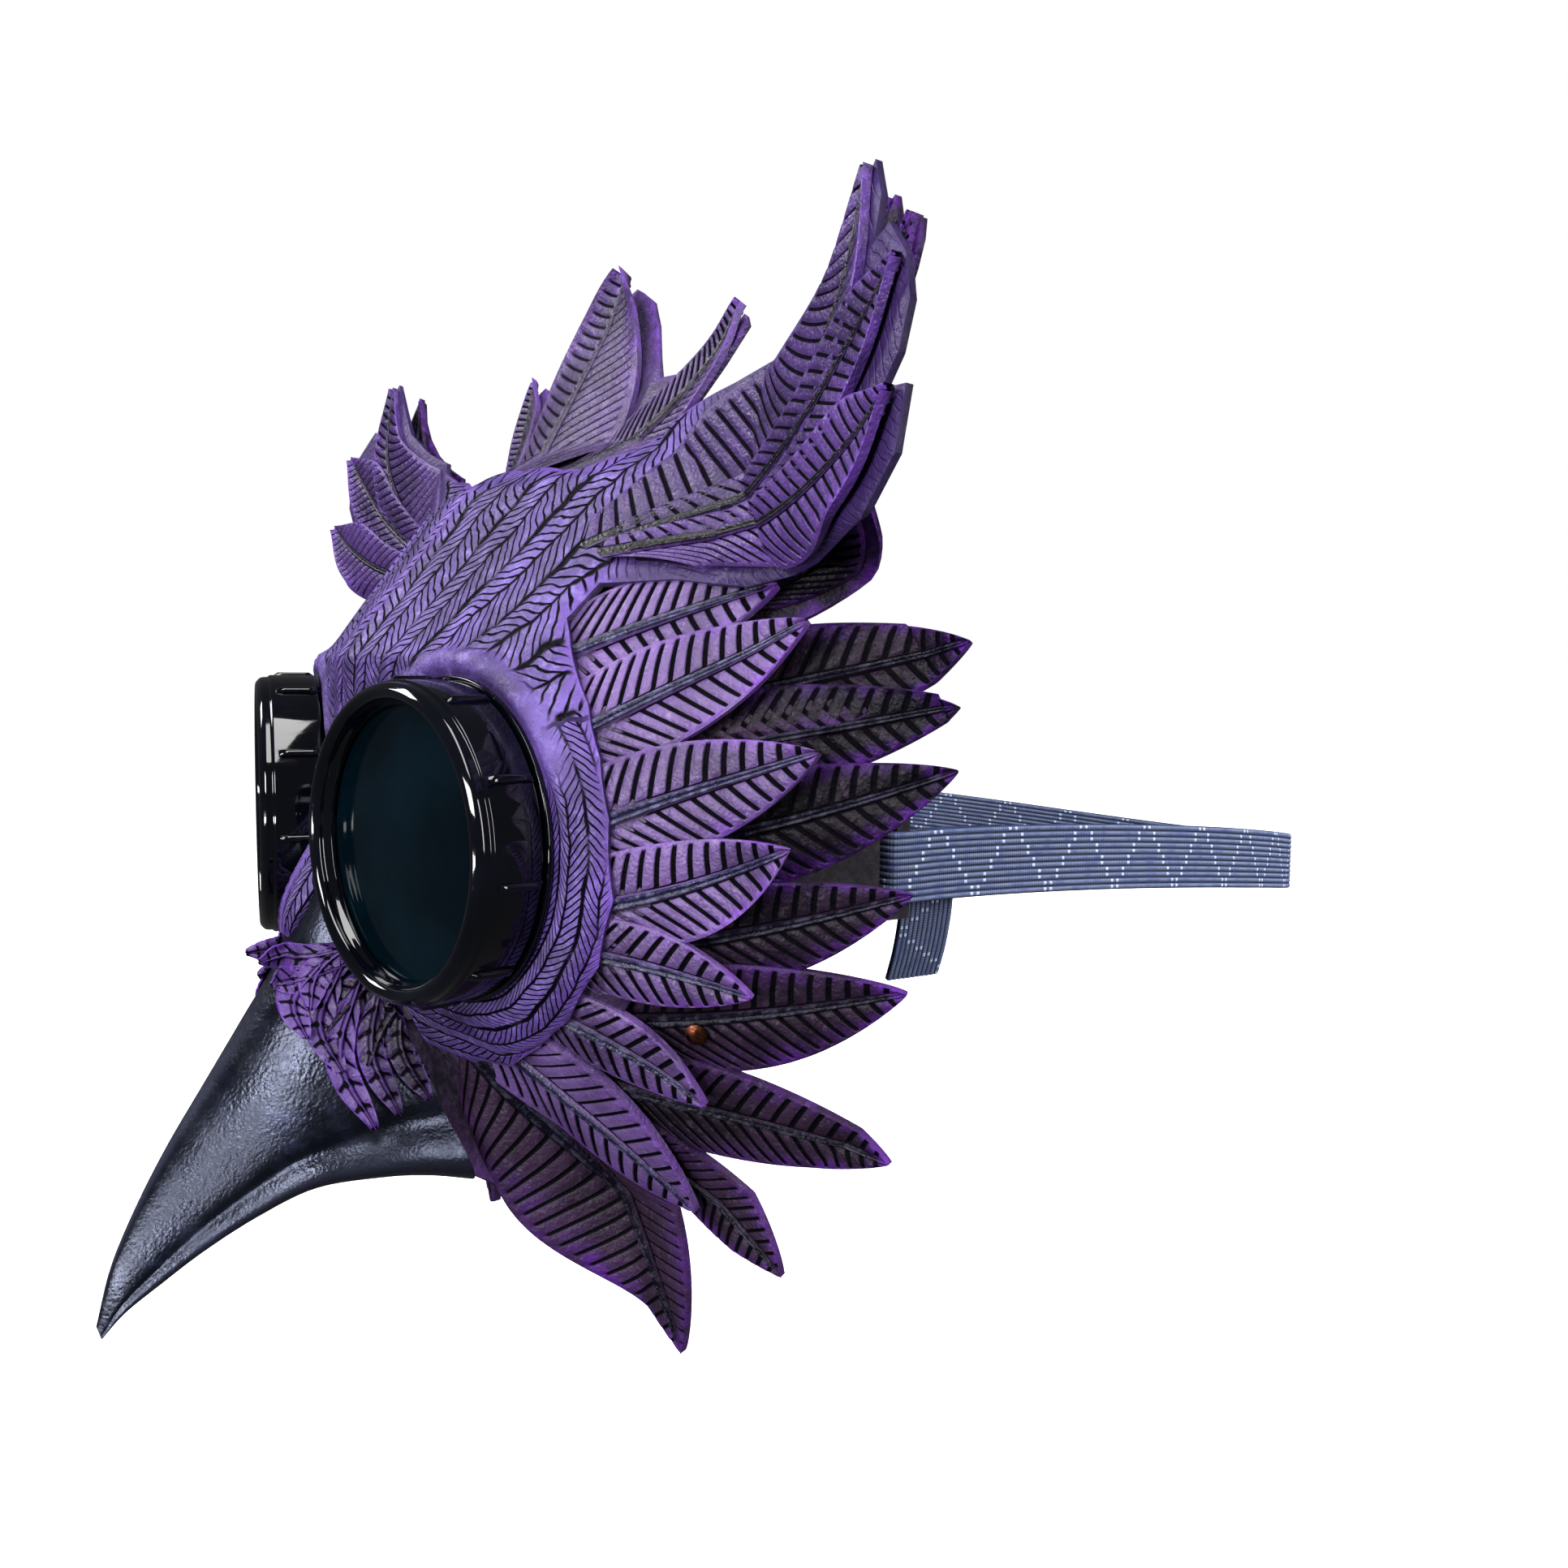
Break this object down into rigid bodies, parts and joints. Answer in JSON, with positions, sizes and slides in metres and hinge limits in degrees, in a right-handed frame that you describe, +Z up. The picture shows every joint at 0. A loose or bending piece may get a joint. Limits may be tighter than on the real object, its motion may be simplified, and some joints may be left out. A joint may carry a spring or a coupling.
{
  "type": "plague doctor mask",
  "caption": "Raven plague doctor mask in layered, tooled leather feathers with a short hooked beak, screw-capped round goggles, ear wings, a crest and an elastic head strap.",
  "frame": {"origin": "midway between the two goggles, level with their centres and with the front rims' centres; it is where the wearer's line of sight leaves the mask", "axes": "-Y is the way that the beak points and the wearer looks, +X the wearer's left, +Z up"},
  "size_m": [0.292, 0.3313, 0.2445],
  "materials": {
    "brow_leather": "light violet dye, tooled barbs, low sheen",
    "cheek_leather": "violet dye with brown shade, semi gloss",
    "rear_leather": "dark violet and black dye, semi gloss",
    "beak_leather": "black dye, brushed and polished",
    "lining_leather": "black, matt",
    "goggle_plastic": "black, glossy",
    "lens_glass": "dark blue, polished",
    "gasket_rubber": "matt",
    "rivet_copper": "copper, satin",
    "strap_elastic": "woven elastic, dark navy with pale zigzag thread"
  },
  "bodies": {
    "mask": {"brow_mask": "brow_leather", "crest": "cheek_leather", "beak": "beak_leather", "face_lining": "lining_leather", "strap": "strap_elastic", "cheek_feathers_left": "cheek_leather", "rear_feathers_left": "rear_leather", "nose_fringe_left": "brow_leather", "eyecup_left": "goggle_plastic", "lock_ring_left": "goggle_plastic", "strap_tab_left": "lining_leather", "strap_tail_left": "strap_elastic", "rear_rivet_left": "rivet_copper", "tab_rivet_left_1": "rivet_copper", "tab_rivet_left_2": "rivet_copper", "cheek_feathers_right": "cheek_leather", "rear_feathers_right": "rear_leather", "nose_fringe_right": "brow_leather", "eyecup_right": "goggle_plastic", "lock_ring_right": "goggle_plastic", "strap_tab_right": "lining_leather", "strap_tail_right": "strap_elastic", "rear_rivet_right": "rivet_copper", "tab_rivet_right_1": "rivet_copper", "tab_rivet_right_2": "rivet_copper"},
    "lens_unit_left": {"lens_left": "lens_glass", "lens_gasket_left": "gasket_rubber"},
    "screw_cap_left": {"lens_cap_left": "goggle_plastic"},
    "lens_unit_right": {"lens_right": "lens_glass", "lens_gasket_right": "gasket_rubber"},
    "screw_cap_right": {"lens_cap_right": "goggle_plastic"}
  },
  "joints": [
    {"name": "lens_left_travel", "type": "slide", "parent": "mask", "child": "lens_unit_left", "axis": [0.2164, -0.9763, 0], "range_m": [0, 0.0041]},
    {"name": "cap_left_turn", "type": "hinge", "parent": "lens_unit_left", "child": "screw_cap_left", "pos_m": [0.0461, 0.0156, 0], "axis": [0.2164, -0.9763, 0], "range_deg": [0, 360]},
    {"name": "lens_right_travel", "type": "slide", "parent": "mask", "child": "lens_unit_right", "axis": [-0.2164, -0.9763, 0], "range_m": [0, 0.0041]},
    {"name": "cap_right_turn", "type": "hinge", "parent": "lens_unit_right", "child": "screw_cap_right", "pos_m": [-0.0461, 0.0156, 0], "axis": [-0.2164, -0.9763, 0], "range_deg": [0, 360]}
  ],
  "couplings": [
    {"joint": "lens_left_travel", "follows": "cap_left_turn", "m_per_rad": 0.00063662},
    {"joint": "lens_right_travel", "follows": "cap_right_turn", "m_per_rad": 0.00063662}
  ]
}
